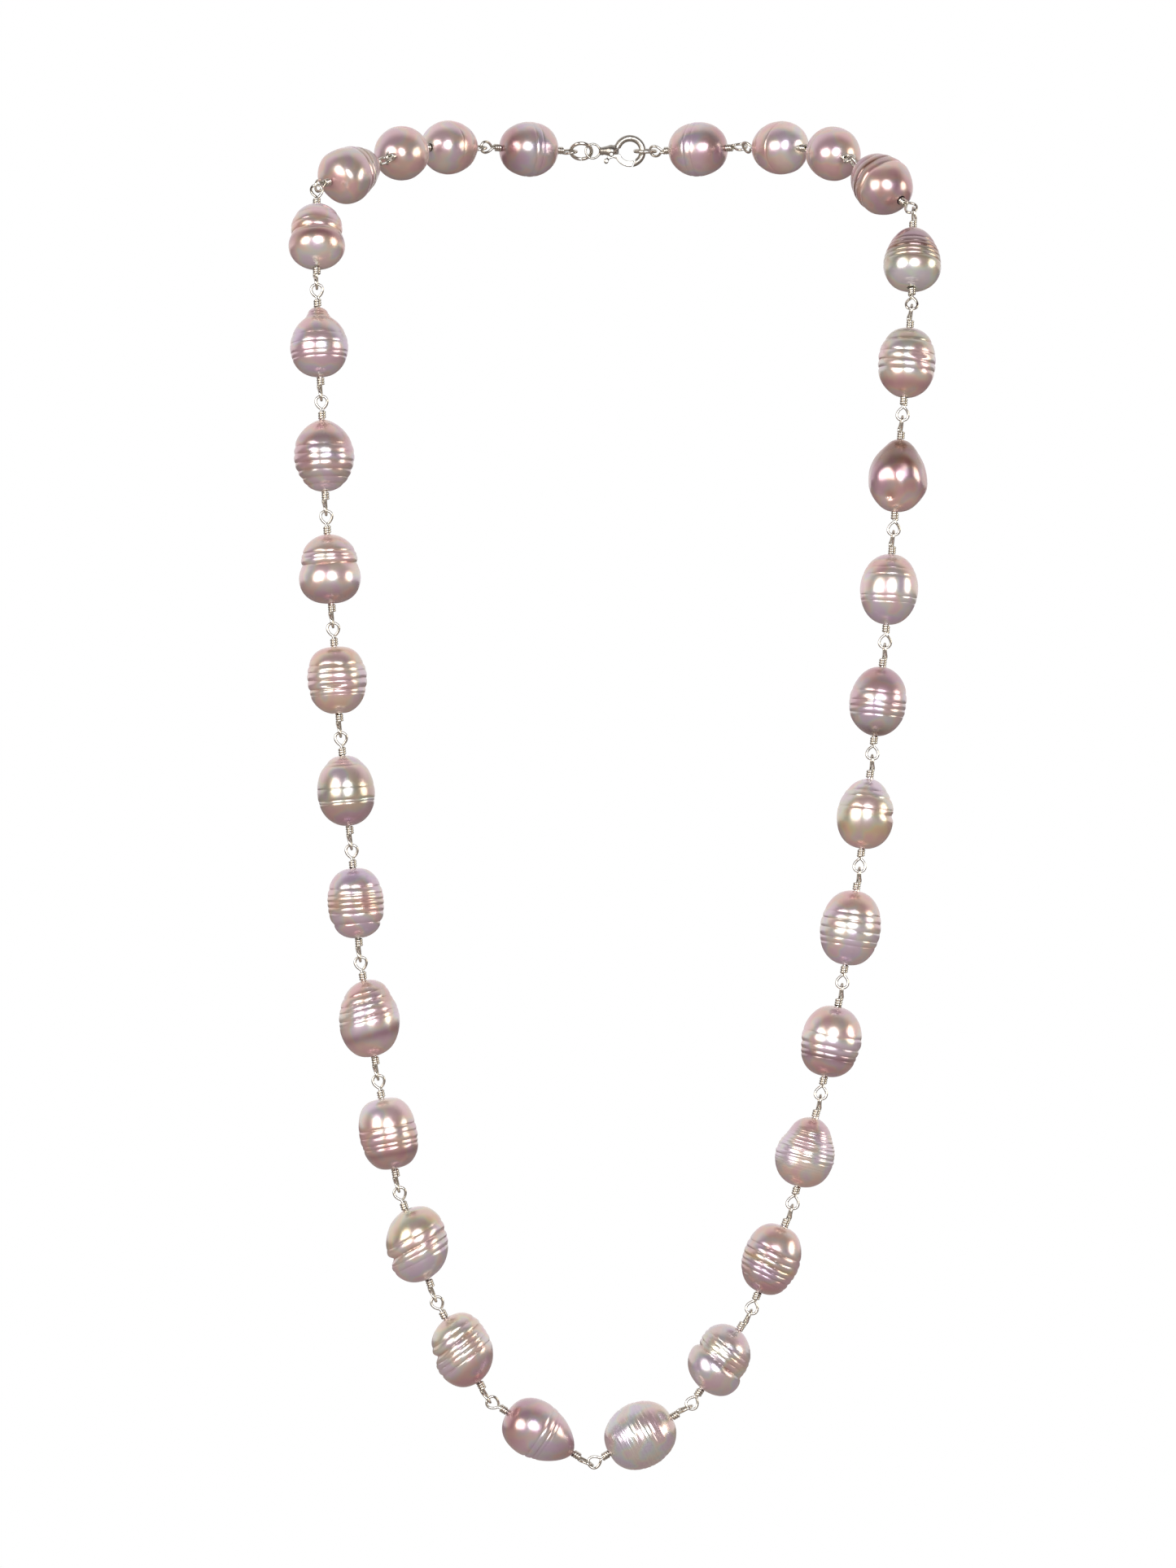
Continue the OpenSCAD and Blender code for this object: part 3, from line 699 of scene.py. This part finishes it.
# Clasp. A lobster clasp, cast in sterling silver and polished: body, sprung lever and pin, with a
# jump ring at each end. Its metal is tumbled bright in steel shot, which leaves soft edges, a
# faint orange peel and fine pits.
CASTINGS = (("clasp_body", "nape", 0.09 * MM), ("clasp_lever", "clasp_lever", 0.06 * MM))
TUMBLING = 24
METAL_LOST = 0.05 * MM

cast_silver, tree = new_finish("tumbled cast silver")
where = add_node(tree, "ShaderNodeTexCoord").outputs["Object"]
peel = add_node(tree, "ShaderNodeTexNoise", {"Vector": where, "Scale": 1 / (1.6 * MM),
                "Detail": 1.0})
pits = add_node(tree, "ShaderNodeTexNoise", {"Vector": where, "Scale": 1 / (0.15 * MM),
                "Detail": 3.0})
soft = add_node(tree, "ShaderNodeBump", {"Height": peel.outputs["Fac"], "Strength": 0.7,
                "Distance": 0.35 * MM})
pitted = add_node(tree, "ShaderNodeBump", {"Height": pits.outputs["Fac"], "Strength": 0.12,
                  "Distance": 0.03 * MM, "Normal": soft.outputs[0]})
rough = add_node(tree, "ShaderNodeMapRange", {"Value": pits.outputs["Fac"], "From Min": 0.3,
                 "From Max": 0.7, "To Min": 0.3, "To Max": 0.42})
shader = add_node(tree, "ShaderNodeBsdfPrincipled", {
    "Base Color": linear("#B7B3AA"), "Metallic": 1.0, "Roughness": rough.outputs[0],
    "Normal": pitted.outputs[0]})
add_node(tree, "ShaderNodeOutputMaterial", [shader.outputs[0]])

# Hard-drawn spring steel, blue-grey, dulled in fine patches by the die.
spring_steel, tree = new_finish("hard-drawn spring steel")
where = add_node(tree, "ShaderNodeTexCoord").outputs["Object"]
dulled = add_node(tree, "ShaderNodeTexNoise", {"Vector": where, "Scale": 1 / (0.08 * MM),
                  "Detail": 2.0})
rough = add_node(tree, "ShaderNodeMapRange", {"Value": dulled.outputs["Fac"], "From Min": 0.3,
                 "From Max": 0.7, "To Min": 0.28, "To Max": 0.42})
shader = add_node(tree, "ShaderNodeBsdfPrincipled", {
    "Base Color": linear("#9C9FA3"), "Metallic": 1.0, "Roughness": rough.outputs[0]})
add_node(tree, "ShaderNodeOutputMaterial", [shader.outputs[0]])

for node, finish in (("clasp_pin", cast_silver), ("clasp_spring", spring_steel),
                     ("jump_rings", silver)):
    frame["nodes"][node].data.materials.clear()
    frame["nodes"][node].data.materials.append(finish)

# Casting and tumbling round every edge of the body and the lever.
for node, body, fineness in CASTINGS:
    blank = bpy.data.objects.new(node + "_blank", frame["nodes"][node].data.copy())
    bpy.context.scene.collection.objects.link(blank)
    skin = blank.modifiers.new("cast", "REMESH")
    skin.mode = "VOXEL"
    skin.voxel_size = fineness
    tumble = blank.modifiers.new("tumble", "SMOOTH")
    tumble.factor = 0.5
    tumble.iterations = TUMBLING
    wear_and_groove_shade = blank.modifiers.new("wear_and_groove_shade", "DISPLACE")
    wear_and_groove_shade.mid_level = 0.0
    wear_and_groove_shade.strength = -METAL_LOST
    bpy.context.view_layer.update()
    shape = bpy.data.meshes.new_from_object(
        blank.evaluated_get(bpy.context.evaluated_depsgraph_get()))
    bpy.data.objects.remove(blank)
    shape.materials.clear()
    shape.materials.append(cast_silver)
    shape.shade_smooth()
    piece = bpy.data.objects.new("cast_" + node, shape)
    bpy.context.scene.collection.objects.link(piece)
    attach(piece, body)
    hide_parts(node)


# Studio. A floor painted pale under the necklace and darker away from it, a painted pool of light,
# a bright room beside and behind it, a dark room in front of it, and three soft lamps on the
# camera's side. Floor and room show plain white, and what the pearls reflect of them is greyer.
FLOOR_DROP = 60 * MM
FLOOR_REACH = 3.0
LAMP_DISTANCE = 1.5

z = cad_low.z - FLOOR_DROP
floor_mesh = bpy.data.meshes.new("floor")
floor_mesh.from_pydata([(x * FLOOR_REACH, y * FLOOR_REACH, z)
                        for x, y in ((-1, -1), (1, -1), (1, 1), (-1, 1))], [], [(0, 1, 2, 3)])
floor = bpy.data.objects.new("floor", floor_mesh)
bpy.context.scene.collection.objects.link(floor)
paint, tree = new_finish("matt floor with painted light pool")
# Painted pool of light: the floor's own colour is pale under the necklace and darker away from it.
from_middle = add_node(tree, "ShaderNodeVectorMath", [
    add_node(tree, "ShaderNodeTexCoord").outputs["Object"], (0.0, DRAPE_MIDDLE.y, z)],
    operation="DISTANCE")
far = add_node(tree, "ShaderNodeMapRange", {"Value": from_middle.outputs["Value"],
               "From Min": 0.1, "From Max": 1.0}, interpolation_type="SMOOTHSTEP")
painted_light_pool = add_node(tree, "ShaderNodeMix", {"Factor": far.outputs[0], COLOUR_A: linear("#A79E99"),
                 COLOUR_B: linear("#8C8380")}, data_type="RGBA")
matt = add_node(tree, "ShaderNodeBsdfDiffuse", {"Color": painted_light_pool.outputs[2]})
bright = add_node(tree, "ShaderNodeEmission", {"Color": (1, 1, 1, 1), "Strength": 1.0})
seen = add_node(tree, "ShaderNodeLightPath").outputs["Is Camera Ray"]
painted = add_node(tree, "ShaderNodeMixShader", [seen, matt.outputs[0], bright.outputs[0]])
add_node(tree, "ShaderNodeOutputMaterial", [painted.outputs[0]])
floor_mesh.materials.append(paint)
floor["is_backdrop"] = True

for name, turn, lift, size, power, colour in (
        ("warm lamp", -42, 8, 1.1, 15, "#FFF8F0"), ("cool lamp", 8, 10, 0.9, 13, "#F4F8FF"),
        ("yellow lamp", 78, 8, 0.8, 7, "#FFF6E4")):
    lamp = bpy.data.objects.new(name, bpy.data.lights.new(name, "AREA"))
    lamp.data.shape = "DISK"
    lamp.data.size = size
    lamp.data.energy = power
    lamp.data.color = linear(colour)[:3]
    away = Vector((math.sin(deg(turn)) * math.cos(deg(lift)),
                   -math.cos(deg(turn)) * math.cos(deg(lift)), math.sin(deg(lift))))
    lamp.location = DRAPE_MIDDLE + away * LAMP_DISTANCE
    lamp.rotation_euler = away.to_track_quat("Z", "Y").to_euler()
    bpy.context.scene.collection.objects.link(lamp)

world = bpy.data.worlds.new("room")
bpy.context.scene.world = world
world.use_nodes = True
tree = world.node_tree
tree.nodes.clear()
ray = add_node(tree, "ShaderNodeTexCoord").outputs["Generated"]
facing = add_node(tree, "ShaderNodeVectorMath", [ray, (0.0, -0.95, -0.3)],
                  operation="DOT_PRODUCT")
dark = add_node(tree, "ShaderNodeMapRange", {"Value": facing.outputs["Value"], "From Min": -0.5,
                "From Max": 0.15}, interpolation_type="SMOOTHSTEP")
room = add_node(tree, "ShaderNodeMix", {"Factor": dark.outputs[0], COLOUR_A: linear("#EAE6E6"),
                COLOUR_B: linear("#46383A")}, data_type="RGBA")
seen = add_node(tree, "ShaderNodeMix", {
    "Factor": add_node(tree, "ShaderNodeLightPath").outputs["Is Camera Ray"],
    COLOUR_A: room.outputs[2], COLOUR_B: (1, 1, 1, 1)}, data_type="RGBA")
glow = add_node(tree, "ShaderNodeBackground", {"Color": seen.outputs[2], "Strength": 1.0})
add_node(tree, "ShaderNodeOutputWorld", [glow.outputs[0]])
bpy.context.scene.view_settings.view_transform = "Standard"

low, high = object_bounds()
